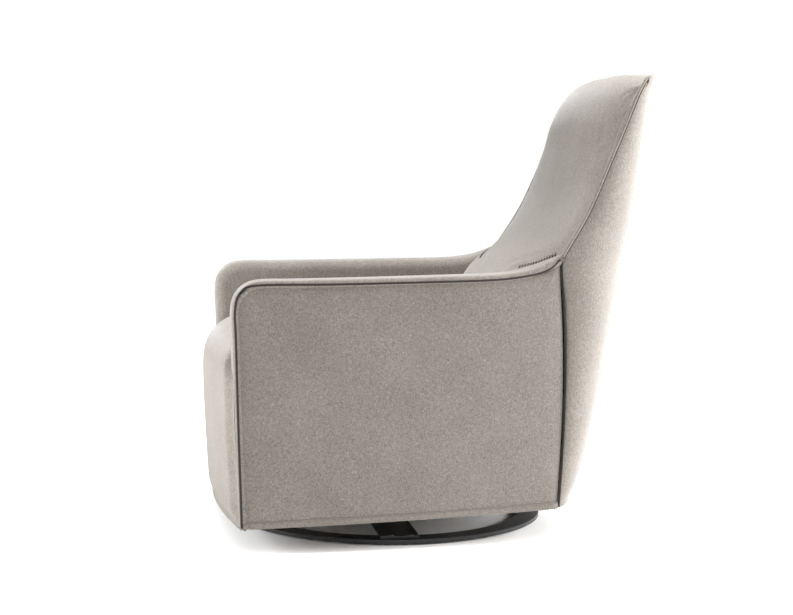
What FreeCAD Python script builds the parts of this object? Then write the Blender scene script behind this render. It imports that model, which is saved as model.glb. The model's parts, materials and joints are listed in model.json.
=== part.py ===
import FreeCAD, Part
import math
import os

# Swivel glider nursery chair.  Millimetres, +Z up, the chair faces -Y, and X runs from side to side.
# The origin is on the floor, under the middle of the whole chair's bounding box.

# ---- overall sizes -------------------------------------------------------------------------------
WIDTH = 770.0             # outside of one arm to outside of the other, at the front
DEPTH = 956.0             # seat nose to the rearmost point of the back
HEIGHT = 968.0            # floor to the top of the back
REAR_WIDTH = 644.0        # outside width where the side panels end
SIDE_BOW = 16.0           # how far each side bows outward between its ends
ARM_HEIGHT = 546.0        # floor to the top of the arm
ARM_WIDTH = 85.0
SEAT_HEIGHT = 444.0       # floor to the crown of the seat cushion
BODY_CLEARANCE = 50.0     # floor to the bottom edge of the upholstered body
FRONT_BOW = 40.0          # how far the middle of the front stands ahead of its corners
GAP = 0.5                 # clearance between neighbouring soft or wooden pieces

FRONT_Y = -DEPTH / 2
BACK_Y = DEPTH / 2
CORNER_Y = FRONT_Y + FRONT_BOW        # front corner of each arm
SEAM_Y = BACK_Y - 248.0               # upright seam between side panel and outside back
BACK_TOP_LEAN = 182.0                 # how much further back the piping is at the top than at the seam

# ---- base ring and swivel ------------------------------------------------------------------------
RING_OD = 670.0
RING_BAR = 45.0
RING_THICK = 8.0
GLIDE_THICK = 3.0
GLIDE_DIA = 30.0
GLIDE_COUNT = 6
SWIVEL_Y = -100.0                     # the swivel axis
RING_SETBACK = 20.0                   # the ring's centre lies this far behind the swivel axis
RING_Y = SWIVEL_Y + RING_SETBACK
STRAP_WIDTH = 80.0
STRAP_THICK = 5.0
RIVET_DIA = 10.0
RIVET_HEAD_DIA = 18.0
RIVET_HEAD = 2.5
PIVOT_DIA = 20.0
PIVOT_HEAD_DIA = 34.0
PIVOT_HEAD = 6.0
PIVOT_CLEARANCE = 0.4
SWIVEL_PLATE = 180.0                  # side of the square swivel plates
PLATE_THICK = 4.0
RACE_MEAN_DIA = 120.0
RACE_WIDTH = 20.0
RACE_THICK = 5.0
BALL_DIA = 7.0
BALL_CLEARANCE = 0.1
BALL_COUNT = 20

RING_TOP = GLIDE_THICK + RING_THICK
LATERAL_TOP = RING_TOP + STRAP_THICK
STRAPS_TOP = LATERAL_TOP + STRAP_THICK
LOWER_PLATE_TOP = STRAPS_TOP + PLATE_THICK
RACE_GAP = 2.0                        # open gap between the two races, bridged by the balls
LOWER_RACE_TOP = LOWER_PLATE_TOP + RACE_THICK
UPPER_RACE_BOTTOM = LOWER_RACE_TOP + RACE_GAP
UPPER_PLATE_BOTTOM = UPPER_RACE_BOTTOM + RACE_THICK
UPPER_PLATE_TOP = UPPER_PLATE_BOTTOM + PLATE_THICK
WASHER_THICK = 2.0
NUT_THICK = 12.0
NUT_FLATS = 30.0
THREAD_END = 4.0                      # bolt showing above its nut
CHANNEL_WIDTH = 44.0                  # steel cross members on the upper plate
CHANNEL_HEIGHT = 26.0
CHANNEL_WALL = 3.0
SIDE_PLATE_HEIGHT = 34.0              # mechanism side plates, between their ears

# ---- glider mechanism ----------------------------------------------------------------------------
LINK_LENGTH = 120.0                   # pivot to pivot
LINK_WIDTH = 28.0
LINK_THICK = 6.0
LINK_X = 186.0                        # inner face of each link
PLATE_GAP = 6.0                       # beside each link, for the bush flange and the pin's collar
PIVOT_SPACING = 300.0                 # front pivots to rear pivots
UPPER_PIVOT_Z = 200.0
LOWER_PIVOT_Z = UPPER_PIVOT_Z - LINK_LENGTH
PIN_DIA = 12.0
PIN_HEAD_DIA = 22.0
PIN_HEAD = 5.0
BUSH_WALL = 2.0
BUSH_FLANGE_DIA = 24.0
BUSH_FLANGE = 1.2
SIDE_PLAY = 0.3                       # between a link's bush and the collar or head beside it
COLLAR = 2.0                          # formed on each pin's plain end
RUNNING = 0.05                        # radial clearance of a pin in its bush
OPEN_PIVOT = 0.10                     # radial clearance at the rear lower pins
SIDE_PLATE_THICK = 6.0
SIDE_PLATE_X = LINK_X - PLATE_GAP     # outer face of each mechanism side plate
RAIL_THICK = 5.0
RAIL_X = LINK_X + LINK_THICK + PLATE_GAP         # inner face of each glide rail
RAIL_FLANGE = 50.0
FRONT_PIVOT_Y = SWIVEL_Y - PIVOT_SPACING / 2
REAR_PIVOT_Y = SWIVEL_Y + PIVOT_SPACING / 2
EAR_RADIUS = 17.0                     # round end of each upright ear and rail lug

# ---- wooden frame --------------------------------------------------------------------------------
BOARD = 22.0
PANEL_PLY = 12.0
SIDE_PAD = 18.0                       # foam and cover on the outside of each side panel
RUNNER_BOTTOM = 101.0
RUNNER_HEIGHT = 60.0
RUNNER_WIDTH = 46.0
SEAT_RAIL_BOTTOM = 262.0
SEAT_RAIL_TOP = 326.0
POST_THICK = 25.0
POST_X = 236.0                        # inner face of each back post
POST_DEPTH = 26.0
SPRING_WIRE = 3.6
SPRING_LOOP = 11.0                    # radius of each bend of a sinuous spring
SPRING_REACH = 18.0                   # straight length between bends
SPRING_ROOM = 8.0                     # height kept free above the seat rails
SEAT_SPRINGS = 5
SEAT_SPRING_SPACING = 92.0
BACK_SPRINGS = 4
BACK_SPRING_SPACING = 108.0
CLIP_SIZE = 8.0

# ---- upholstery ----------------------------------------------------------------------------------
FRONT_PAD = 28.0
SHELL = 12.0                          # thickness of the outside back
HEAD_CAP = 28.0                       # height of the head roll that laps over the outside back
BACK_BOW = 30.0                       # how far the middle of the back stands behind its corners
BACK_CORNER_SHARE = 0.7               # rear corner radius as a share of the side's depth
SEAT_BOTTOM = 338.0
PANEL_TOP_Z = ARM_HEIGHT - 16.0       # top seam of the outer side panel
PANEL_CORNER = 48.0                   # radius of the panel's front top corner
APEX_Z = 578.0                        # where arm seam, rear seam and piping meet
ARM_REAR_Y = SEAM_Y - 24.0
BODY_RISE = 14.0                      # how much higher the body's bottom edge is at the rear seam
OUT = 1000.0                          # larger than anything it cuts


def vec(x, y, z):
    return FreeCAD.Vector(x, y, z)


def box(xs, ys, zs):
    """A block between a low and a high value on each axis."""
    size = (xs[1] - xs[0], ys[1] - ys[0], zs[1] - zs[0])
    return Part.makeBox(size[0], size[1], size[2], vec(xs[0], ys[0], zs[0]))


def rod_z(radius, x, y, zs):
    return Part.makeCylinder(radius, zs[1] - zs[0], vec(x, y, zs[0]), vec(0, 0, 1))


def rod_x(radius, xs, y, z):
    return Part.makeCylinder(radius, xs[1] - xs[0], vec(xs[0], y, z), vec(1, 0, 0))


def rod_y(radius, x, ys, z):
    return Part.makeCylinder(radius, ys[1] - ys[0], vec(x, ys[0], z), vec(0, 1, 0))


def face_of(edges):
    return Part.Face(Part.Wire(edges))


def line(a, b):
    return Part.LineSegment(a, b).toShape()


def arc(a, b, c):
    return Part.Arc(a, b, c).toShape()


def side_view(points, xs):
    """A flat outline given as (y, z) points, thickened along X."""
    corners = [vec(xs[0], y, z) for y, z in points]
    face = Part.Face(Part.makePolygon(corners + corners[:1]))
    return face.extrude(vec(xs[1] - xs[0], 0, 0))


def group(solids):
    return Part.makeCompound(solids)


def mirror(shape):
    """The same piece on the other side of the chair."""
    return shape.mirror(vec(0, 0, 0), vec(1, 0, 0))


def on_side(shape, side):
    return shape if side > 0 else mirror(shape)


# ---- curves that several pieces share ------------------------------------------------------------
def outer_x(y):
    """Half width of the chair's side at depth y: straight taper plus an even outward bow."""
    share = (y - CORNER_Y) / (SEAM_Y - CORNER_Y)
    taper = WIDTH / 2 + (REAR_WIDTH - WIDTH) / 2 * share
    return taper + 4 * SIDE_BOW * share * (1 - share)


def front_y(x):
    """Depth of the bowed front at a distance x from the middle."""
    return FRONT_Y + FRONT_BOW * (2 * x / WIDTH) ** 2


def side_band(outer, inner, ys, zs):
    """A slab that follows the bowed side, between two distances in from its outer face."""
    y0, y1 = CORNER_Y - 60.0, SEAM_Y + 20.0
    mid = (y0 + y1) / 2
    a, b, c = [vec(outer_x(y) - outer, y, zs[0]) for y in (y0, mid, y1)]
    d, e, f = [vec(outer_x(y) - inner, y, zs[0]) for y in (y0, mid, y1)]
    face = face_of([arc(a, b, c), line(c, f), arc(f, e, d), line(d, a)])
    return face.extrude(vec(0, 0, zs[1] - zs[0])).common(box((-OUT, OUT), ys, zs))


def front_band(near, far, xs, zs):
    """A slab that follows the bowed front, between two distances back from its face."""
    half = WIDTH / 2 + 20.0
    a, b, c = [vec(x, front_y(x) + near, zs[0]) for x in (-half, 0, half)]
    d, e, f = [vec(x, front_y(x) + far, zs[0]) for x in (-half, 0, half)]
    face = face_of([arc(a, b, c), line(c, f), arc(f, e, d), line(d, a)])
    return face.extrude(vec(0, 0, zs[1] - zs[0])).common(box(xs, (-OUT, OUT), zs))


# ---- base body -----------------------------------------------------------------------------------
def ring_angles(count, start=0.0):
    return [start + 2 * math.pi * i / count for i in range(count)]


def floor_glides():
    radius = (RING_OD - RING_BAR) / 2
    start = math.pi / GLIDE_COUNT
    return group([rod_z(GLIDE_DIA / 2, radius * math.cos(a), RING_Y + radius * math.sin(a), (0, GLIDE_THICK))
                  for a in ring_angles(GLIDE_COUNT, start)])


def base_ring():
    outer = rod_z(RING_OD / 2, 0, RING_Y, (GLIDE_THICK, RING_TOP))
    inner = rod_z(RING_OD / 2 - RING_BAR, 0, RING_Y, (0, OUT))
    ring = outer.cut(inner)
    for x, y in rivet_places():
        ring = ring.cut(rod_z(RIVET_DIA / 2, x, y, (0, OUT)))
    return ring


def lateral_half():
    """Half length of the side-to-side strap, which ends just inside the ring's outer edge."""
    reach = RING_OD / 2 - RING_BAR / 4
    far_edge = RING_SETBACK + STRAP_WIDTH / 2
    return math.sqrt(reach ** 2 - far_edge ** 2)


def rivet_places():
    """Two rivets at each end of each strap."""
    radius = (RING_OD - RING_BAR) / 2
    side = STRAP_WIDTH / 4
    places = []
    for offset in (-side, side):
        lateral_y = SWIVEL_Y + offset
        lateral_x = math.sqrt(radius ** 2 - (lateral_y - RING_Y) ** 2)
        ahead = math.sqrt(radius ** 2 - offset ** 2)
        places += [(lateral_x, lateral_y), (-lateral_x, lateral_y)]
        places += [(offset, RING_Y + ahead), (offset, RING_Y - ahead)]
    return places


def rivet_holes(shape):
    for x, y in rivet_places():
        shape = shape.cut(rod_z(RIVET_DIA / 2, x, y, (0, OUT)))
    return shape.cut(rod_z(PIVOT_DIA / 2, 0, SWIVEL_Y, (0, OUT)))


def base_strap_lateral():
    half = lateral_half()
    ys = (SWIVEL_Y - STRAP_WIDTH / 2, SWIVEL_Y + STRAP_WIDTH / 2)
    return rivet_holes(box((-half, half), ys, (RING_TOP, LATERAL_TOP)))


def base_strap_fore_aft():
    """Steps up over the side-to-side strap in the middle."""
    reach = RING_OD / 2 - RING_BAR / 4
    far = RING_Y + math.sqrt(reach ** 2 - (STRAP_WIDTH / 2) ** 2)
    near = 2 * RING_Y - far
    step, ramp = STRAP_WIDTH / 2 + 8.0, 20.0
    low, high = RING_TOP, LATERAL_TOP
    under = [(near, low), (SWIVEL_Y - step - ramp, low), (SWIVEL_Y - step, high),
             (SWIVEL_Y + step, high), (SWIVEL_Y + step + ramp, low), (far, low)]
    over = [(y, z + STRAP_THICK) for y, z in reversed(under)]
    return rivet_holes(side_view(under + over, (-STRAP_WIDTH / 2, STRAP_WIDTH / 2)))


def strap_rivets():
    rivets = []
    for x, y in rivet_places():
        shank = rod_z(RIVET_DIA / 2, x, y, (GLIDE_THICK, LATERAL_TOP))
        head = rod_z(RIVET_HEAD_DIA / 2, x, y, (LATERAL_TOP, LATERAL_TOP + RIVET_HEAD))
        rim = [e for e in head.Edges if e.BoundBox.ZMin > LATERAL_TOP + RIVET_HEAD / 2 and len(e.Vertexes) == 1]
        rivets.append(shank.fuse(head.makeFillet(RIVET_HEAD * 0.6, rim)))
    return group(rivets)


def swivel_plate(zs):
    half = SWIVEL_PLATE / 2
    plate = box((-half, half), (SWIVEL_Y - half, SWIVEL_Y + half), zs)
    upright = [e for e in plate.Edges if e.BoundBox.ZLength > PLATE_THICK / 2]
    plate = plate.makeFillet(SWIVEL_PLATE / 9, upright)
    return plate.cut(rod_z(PIVOT_DIA / 2 + PIVOT_CLEARANCE, 0, SWIVEL_Y, (0, OUT)))


def swivel_lower_plate():
    return swivel_plate((STRAPS_TOP, LOWER_PLATE_TOP))


def ball_groove():
    middle = (LOWER_RACE_TOP + UPPER_RACE_BOTTOM) / 2
    return Part.makeTorus(RACE_MEAN_DIA / 2, BALL_DIA / 2 + BALL_CLEARANCE, vec(0, SWIVEL_Y, middle))


def race(zs):
    outer = rod_z((RACE_MEAN_DIA + RACE_WIDTH) / 2, 0, SWIVEL_Y, zs)
    inner = rod_z((RACE_MEAN_DIA - RACE_WIDTH) / 2, 0, SWIVEL_Y, zs)
    return outer.cut(inner).cut(ball_groove())


def bearing_lower_race():
    return race((LOWER_PLATE_TOP, LOWER_RACE_TOP))


def bearing_balls():
    middle = (LOWER_RACE_TOP + UPPER_RACE_BOTTOM) / 2
    radius = RACE_MEAN_DIA / 2
    return group([Part.makeSphere(BALL_DIA / 2, vec(radius * math.cos(a), SWIVEL_Y + radius * math.sin(a), middle))
                  for a in ring_angles(BALL_COUNT)])


def pivot_bolt():
    top = UPPER_PLATE_TOP + WASHER_THICK + NUT_THICK + THREAD_END
    shank = rod_z(PIVOT_DIA / 2, 0, SWIVEL_Y, (RING_TOP, top))
    return shank.fuse(rod_z(PIVOT_HEAD_DIA / 2, 0, SWIVEL_Y, (RING_TOP - PIVOT_HEAD, RING_TOP)))


def pivot_nut():
    low = UPPER_PLATE_TOP + WASHER_THICK + 2 * BALL_CLEARANCE
    radius = NUT_FLATS / math.sqrt(3)
    corners = [vec(radius * math.cos(a), SWIVEL_Y + radius * math.sin(a), low) for a in ring_angles(6)]
    hexagon = Part.Face(Part.makePolygon(corners + corners[:1])).extrude(vec(0, 0, NUT_THICK))
    return hexagon.cut(rod_z(PIVOT_DIA / 2, 0, SWIVEL_Y, (0, OUT)))


# ---- swivel body ---------------------------------------------------------------------------------
def bearing_upper_race():
    return race((UPPER_RACE_BOTTOM, UPPER_PLATE_BOTTOM))


def swivel_upper_plate():
    return swivel_plate((UPPER_PLATE_BOTTOM, UPPER_PLATE_TOP))


def thrust_washer():
    disc = rod_z(PIVOT_HEAD_DIA / 2, 0, SWIVEL_Y, (UPPER_PLATE_TOP, UPPER_PLATE_TOP + WASHER_THICK))
    return disc.cut(rod_z(PIVOT_DIA / 2 + PIVOT_CLEARANCE, 0, SWIVEL_Y, (0, OUT)))


def cross_member(y_centre):
    """A flat-bottomed steel channel lying across the upper plate."""
    half = SIDE_PLATE_X - SIDE_PLATE_THICK
    side = CHANNEL_WIDTH / 2
    hollow_side = side - CHANNEL_WALL
    outer = box((-half, half), (y_centre - side, y_centre + side), (UPPER_PLATE_TOP, UPPER_PLATE_TOP + CHANNEL_HEIGHT))
    hollow = box((-OUT, OUT), (y_centre - hollow_side, y_centre + hollow_side), (UPPER_PLATE_TOP + CHANNEL_WALL, OUT))
    return outer.cut(hollow)


def cross_member_front():
    return cross_member(SWIVEL_Y - SWIVEL_PLATE / 2 + CHANNEL_WIDTH / 2)


def cross_member_rear():
    return cross_member(SWIVEL_Y + SWIVEL_PLATE / 2 - CHANNEL_WIDTH / 2)


def ear(y, z_low, xs):
    """An upright lug with a round top centred on an upper pivot."""
    post = box(xs, (y - EAR_RADIUS, y + EAR_RADIUS), (z_low, UPPER_PIVOT_Z))
    return post.fuse(rod_x(EAR_RADIUS, xs, y, UPPER_PIVOT_Z))


def mechanism_side(side):
    """A steel side plate with an upright ear at each end for the swing links."""
    xs = (SIDE_PLATE_X - SIDE_PLATE_THICK, SIDE_PLATE_X)
    ys = (FRONT_PIVOT_Y - EAR_RADIUS, REAR_PIVOT_Y + EAR_RADIUS)
    plate = box(xs, ys, (UPPER_PLATE_TOP, UPPER_PLATE_TOP + SIDE_PLATE_HEIGHT))
    for y in (FRONT_PIVOT_Y, REAR_PIVOT_Y):
        plate = plate.fuse(ear(y, UPPER_PLATE_TOP, xs))
    for y in (FRONT_PIVOT_Y, REAR_PIVOT_Y):
        plate = plate.cut(rod_x(PIN_DIA / 2, (0, OUT), y, UPPER_PIVOT_Z))
    return on_side(plate.removeSplitter(), side)


def pins(z, head_inside):
    """Four headed pins through the links at one height; the plain end is formed into a collar."""
    solids = []
    for side in (1, -1):
        for y in (FRONT_PIVOT_Y, REAR_PIVOT_Y):
            if head_inside:
                inner = SIDE_PLATE_X - SIDE_PLATE_THICK
                outer = LINK_X + LINK_THICK + SIDE_PLAY
                head = rod_x(PIN_HEAD_DIA / 2, (inner - PIN_HEAD, inner), y, z)
                end = rod_x(PIN_DIA / 2 + COLLAR, (outer, outer + COLLAR), y, z)
            else:
                inner = LINK_X - BUSH_FLANGE - SIDE_PLAY
                outer = RAIL_X + RAIL_THICK
                head = rod_x(PIN_HEAD_DIA / 2, (outer, outer + PIN_HEAD), y, z)
                end = rod_x(PIN_DIA / 2 + COLLAR, (inner - COLLAR, inner), y, z)
            shank = rod_x(PIN_DIA / 2, (inner, outer), y, z)
            solids.append(on_side(shank.fuse([head, end]), side))
    return group(solids)


def upper_pivot_pins():
    return pins(UPPER_PIVOT_Z, True)


def lower_pivot_pins():
    return pins(LOWER_PIVOT_Z, False)


# ---- links ---------------------------------------------------------------------------------------
def link(y, side):
    """A flat bar with round ends, bored for its bushes."""
    xs = (LINK_X, LINK_X + LINK_THICK)
    bar = box(xs, (y - LINK_WIDTH / 2, y + LINK_WIDTH / 2), (LOWER_PIVOT_Z, UPPER_PIVOT_Z))
    for z in (LOWER_PIVOT_Z, UPPER_PIVOT_Z):
        bar = bar.fuse(rod_x(LINK_WIDTH / 2, xs, y, z))
    for z in (LOWER_PIVOT_Z, UPPER_PIVOT_Z):
        bar = bar.cut(rod_x(PIN_DIA / 2 + BUSH_WALL, (0, OUT), y, z))
    return on_side(bar.removeSplitter(), side)


def link_bushes(y, lower_clearance):
    """Flanged bushes pressed in both ends of the left and right links."""
    bushes = []
    for z, clearance in ((UPPER_PIVOT_Z, RUNNING), (LOWER_PIVOT_Z, lower_clearance)):
        sleeve = rod_x(PIN_DIA / 2 + BUSH_WALL, (LINK_X - BUSH_FLANGE, LINK_X + LINK_THICK), y, z)
        rim = rod_x(BUSH_FLANGE_DIA / 2, (LINK_X - BUSH_FLANGE, LINK_X), y, z)
        bush = sleeve.fuse(rim).cut(rod_x(PIN_DIA / 2 + clearance, (0, OUT), y, z))
        bushes += [bush, mirror(bush)]
    return group(bushes)


# ---- chair body: steel glide rails ---------------------------------------------------------------
def glide_rail(side):
    """An angle bolted under the mounting rail, with a lug down to each lower pivot."""
    xs = (RAIL_X, RAIL_X + RAIL_THICK)
    ys = (FRONT_PIVOT_Y - 40.0, REAR_PIVOT_Y + 40.0)
    web = box(xs, ys, (RUNNER_BOTTOM - 12.0, RUNNER_BOTTOM))
    flange = box((RAIL_X, RAIL_X + RAIL_FLANGE), ys, (RUNNER_BOTTOM - RAIL_THICK, RUNNER_BOTTOM))
    rail = web.fuse(flange)
    for y in (FRONT_PIVOT_Y, REAR_PIVOT_Y):
        lug = box(xs, (y - EAR_RADIUS, y + EAR_RADIUS), (LOWER_PIVOT_Z, RUNNER_BOTTOM - RAIL_THICK))
        rail = rail.fuse([lug, rod_x(EAR_RADIUS, xs, y, LOWER_PIVOT_Z)])
    for y in (FRONT_PIVOT_Y, REAR_PIVOT_Y):
        rail = rail.cut(rod_x(PIN_DIA / 2, (0, OUT), y, LOWER_PIVOT_Z))
    return on_side(rail.removeSplitter(), side)


def glide_rail_bolts():
    bolts = []
    x = RAIL_X + RAIL_FLANGE / 2 + 8.0
    for side in (1, -1):
        for y in (FRONT_PIVOT_Y + 45.0, SWIVEL_Y, REAR_PIVOT_Y - 45.0):
            low = RUNNER_BOTTOM - RAIL_THICK
            bolts.append(on_side(rod_z(7.0, x, y, (low - 4.0, low)), side))
    return group(bolts)


# ---- chair body: wooden frame --------------------------------------------------------------------
FRAME_FRONT_Y = CORNER_Y + 22.0       # front face of the front rails
FRAME_REAR_Y = SEAM_Y - 22.0          # rear face of the rear rails


def runner(side):
    """The mounting rail that carries the seat box on the glide rail."""
    xs = (RAIL_X, RAIL_X + RUNNER_WIDTH)
    ys = (FRAME_FRONT_Y + BOARD, FRAME_REAR_Y - BOARD)
    return on_side(box(xs, ys, (RUNNER_BOTTOM, RUNNER_BOTTOM + RUNNER_HEIGHT)), side)


def frame_half(y):
    """Half width available to the frame between the plywood side panels."""
    return outer_x(y) - SIDE_PAD - PANEL_PLY - 3 * GAP


def cross_rail(y_low, zs):
    half = min(frame_half(y_low), frame_half(y_low + BOARD))
    return box((-half, half), (y_low, y_low + BOARD), zs)


def base_front_rail():
    return cross_rail(FRAME_FRONT_Y, (BODY_CLEARANCE + 14.0, RUNNER_BOTTOM + RUNNER_HEIGHT))


def seat_front_rail():
    return cross_rail(FRAME_FRONT_Y, (SEAT_RAIL_BOTTOM, SEAT_RAIL_TOP))


def base_rear_rail():
    return cross_rail(FRAME_REAR_Y - BOARD, (BODY_CLEARANCE + 22.0, RUNNER_BOTTOM + RUNNER_HEIGHT))


def seat_rear_rail():
    return cross_rail(FRAME_REAR_Y - BOARD, (SEAT_RAIL_BOTTOM, SEAT_RAIL_TOP))


def corner_blocks():
    """A triangular glue block in each corner of the seat box."""
    blocks = []
    leg = 60.0
    z = RUNNER_BOTTOM + RUNNER_HEIGHT - BOARD
    inner = RAIL_X
    for y, toward in ((FRAME_FRONT_Y + BOARD, 1), (FRAME_REAR_Y - BOARD, -1)):
        corners = [vec(inner, y, z), vec(inner - leg, y, z), vec(inner, y + toward * leg, z)]
        block = Part.Face(Part.makePolygon(corners + corners[:1])).extrude(vec(0, 0, BOARD))
        blocks += [block, mirror(block)]
    return group(blocks)


def side_panel(side):
    """Plywood side of the frame, bowed to follow the chair's side."""
    inner = SIDE_PAD + GAP + PANEL_PLY
    slab = side_band(SIDE_PAD + GAP, inner, (FRAME_FRONT_Y, SEAM_Y - 2.0), (BODY_CLEARANCE + 16.0, PANEL_TOP_Z - GAP))
    return on_side(slab, side)


def arm_front_post(side):
    outer = SIDE_PAD + PANEL_PLY + 2 * GAP
    slab = side_band(outer, outer + BOARD, (FRAME_FRONT_Y + BOARD + GAP, FRAME_FRONT_Y + BOARD + 45.0),
                     (BODY_CLEARANCE + 16.0, PANEL_TOP_Z - BOARD - GAP))
    return on_side(slab, side)


def arm_top_rail(side):
    outer = SIDE_PAD + PANEL_PLY + 2 * GAP
    slab = side_band(outer, outer + BOARD, (FRAME_FRONT_Y + BOARD, ARM_REAR_Y), (PANEL_TOP_Z - BOARD, PANEL_TOP_Z - GAP))
    return on_side(slab, side)


def post_front_points():
    """Front edge of a back post, from its foot to its top, as (y, z): upright, then raked."""
    foot = SEAM_Y - 10.0
    rake = BACK_TOP_LEAN
    return [(foot, BODY_CLEARANCE + 22.0), (foot, APEX_Z - 78.0), (foot + 0.14 * rake, APEX_Z + 10.0),
            (foot + 0.40 * rake, HEIGHT - 288.0), (foot + 0.66 * rake, HEIGHT - 168.0),
            (foot + 0.86 * rake, HEIGHT - 80.0)]


def post_y(z):
    """Depth of the front edge of the back posts at height z."""
    points = post_front_points()
    for (y0, z0), (y1, z1) in zip(points, points[1:]):
        if z <= z1:
            return y0 + (y1 - y0) * (z - z0) / (z1 - z0)
    return points[-1][0]


def back_post(side):
    front = post_front_points()
    rear = [(y + POST_DEPTH, z) for y, z in reversed(front)]
    return on_side(side_view(front + rear, (POST_X, POST_X + POST_THICK)), side)


def back_rail(z, height):
    """A board between the posts, a little behind their front edges."""
    y = max(post_y(z), post_y(z + height)) + 3.0
    half = POST_X - GAP
    return box((-half, half), (y, y + BOARD), (z, z + height))


def back_top_rail():
    return back_rail(HEIGHT - 146.0, 60.0)


def back_lumbar_rail():
    return back_rail(SEAT_RAIL_TOP + 40.0, 60.0)


# ---- springs -------------------------------------------------------------------------------------
def sinuous_wire(x, start, end, along):
    """One sinuous spring: straight crossings joined by half-round bends, in the plane of its run."""
    pitch = 2 * SPRING_LOOP
    turns = int((end - start) // pitch)
    edges = []
    half = SPRING_REACH / 2

    def at(across, run):
        return along(x + across, run)

    run = start
    sign = 1
    for _ in range(turns):
        edges.append(line(at(-sign * half, run), at(sign * half, run)))
        bend = at(sign * (half + SPRING_LOOP), run + SPRING_LOOP)
        edges.append(arc(at(sign * half, run), bend, at(sign * half, run + pitch)))
        run += pitch
        sign = -sign
    edges.append(line(at(-sign * half, run), at(sign * half, run)))
    return Part.Wire(edges)


def spring_solid(wire):
    first = wire.Edges[0]
    start = first.valueAt(first.FirstParameter)
    along = first.tangentAt(first.FirstParameter)
    circle = Part.Wire(Part.makeCircle(SPRING_WIRE / 2, start, along))
    return wire.makePipeShell([circle], True, True)


def seat_springs():
    z = SEAT_RAIL_TOP + SPRING_WIRE / 2 + 1.0
    wires = [sinuous_wire(SEAT_SPRING_SPACING * (i - (SEAT_SPRINGS - 1) / 2), FRAME_FRONT_Y + 8.0,
                          FRAME_REAR_Y - BOARD, lambda across, run: vec(across, run, z)) for i in range(SEAT_SPRINGS)]
    return group([spring_solid(w) for w in wires])


def back_springs():
    """Run up the back, in a plane through the lumbar rail and the top rail."""
    low_z, high_z = SEAT_RAIL_TOP + 110.0, HEIGHT - 160.0
    low_y, high_y = post_y(low_z) + 6.0, post_y(high_z) + 6.0
    rake = (high_y - low_y) / (high_z - low_z)
    length = math.hypot(high_z - low_z, high_y - low_y)

    def along(across, run):
        return vec(across, low_y + rake * (high_z - low_z) * run / length, low_z + (high_z - low_z) * run / length)

    wires = [sinuous_wire(BACK_SPRING_SPACING * (i - (BACK_SPRINGS - 1) / 2), 0.0, length, along)
             for i in range(BACK_SPRINGS)]
    return group([spring_solid(w) for w in wires])


def spring_clips():
    """Small steel clips that hold the seat springs' ends on the front and rear rails."""
    clips = []
    half = 0.75 * CLIP_SIZE
    for i in range(SEAT_SPRINGS):
        x = SEAT_SPRING_SPACING * (i - (SEAT_SPRINGS - 1) / 2) + 14.0
        for y in (FRAME_FRONT_Y + 1.0, FRAME_REAR_Y - 14.0):
            clips.append(box((x - half, x + half), (y, y + 5.0), (SEAT_RAIL_TOP, SEAT_RAIL_TOP + CLIP_SIZE)))
    return group(clips)


# ---- upholstery ----------------------------------------------------------------------------------
def panel_outline(grow):
    """Outer side panel seen from the side, from the floor edge up, as a slab across the chair."""
    front, rear = CORNER_Y + 7.0 - grow, SEAM_Y - 2.0 + grow
    top = PANEL_TOP_Z + grow
    turn = PANEL_CORNER
    diagonal = turn * (1 - math.sqrt(0.5))
    rise_y = SEAM_Y - 110.0
    a = vec(0, front, BODY_CLEARANCE - grow)
    b = vec(0, front, top - turn)
    c = vec(0, front + diagonal, top - diagonal)
    d = vec(0, front + turn, top)
    e = vec(0, rise_y, top)
    f = vec(0, SEAM_Y - 50.0, top + (APEX_Z - PANEL_TOP_Z) * 0.36)
    g = vec(0, rear, APEX_Z - 8.0 + grow)
    h = vec(0, rear, BODY_CLEARANCE + BODY_RISE - grow)
    face = face_of([line(a, b), arc(b, c, d), line(d, e), arc(e, f, g), line(g, h), line(h, a)])
    return face.extrude(vec(WIDTH, 0, 0))


def outer_side(side):
    """Padded outside cover of the arm."""
    slab = side_band(0.0, SIDE_PAD, (-OUT, SEAM_Y + 10.0), (0, HEIGHT))
    return on_side(slab.common(panel_outline(0.0)), side)


def arm_cover(side):
    """The arm's front band, top and inner face, in one piece."""
    clear = side_band(-5.0, SIDE_PAD + PANEL_PLY + 2 * GAP + BOARD + GAP, (CORNER_Y + 12.0, OUT), (0, PANEL_TOP_Z + GAP))
    whole = side_band(0.0, ARM_WIDTH, (-OUT, ARM_REAR_Y), (BODY_CLEARANCE, ARM_HEIGHT))
    crest = [e for e in whole.Edges if e.BoundBox.ZMin > ARM_HEIGHT - 1 and e.BoundBox.YLength > 200]
    whole = whole.makeFillet(12.0, crest)
    front = front_band(0.0, OUT, (0, WIDTH), (BODY_CLEARANCE, HEIGHT))
    cover = whole.common(front)
    inside = box((0, WIDTH / 2 - ARM_WIDTH - 6.0), (-OUT, CORNER_Y + 60.0), (0, SEAT_BOTTOM))
    cover = cover.cut(clear).cut(panel_outline(GAP).common(side_band(-5.0, SIDE_PAD + GAP, (-OUT, OUT), (0, HEIGHT))))
    below_deck = box((0, OUT), (FRAME_FRONT_Y - GAP, OUT), (0, SEAT_RAIL_TOP + SPRING_ROOM))
    return on_side(cover.cut(inside).cut(below_deck), side)


def seat_half(y):
    """Half width of the seat between the arms' inner faces."""
    return outer_x(y) - ARM_WIDTH - 2 * GAP


SEAT_REAR_Y = BACK_Y - 384.0          # where the seat meets the inside back
SEAT_NOSE = 46.0                      # radius of the seat's front edge


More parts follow.
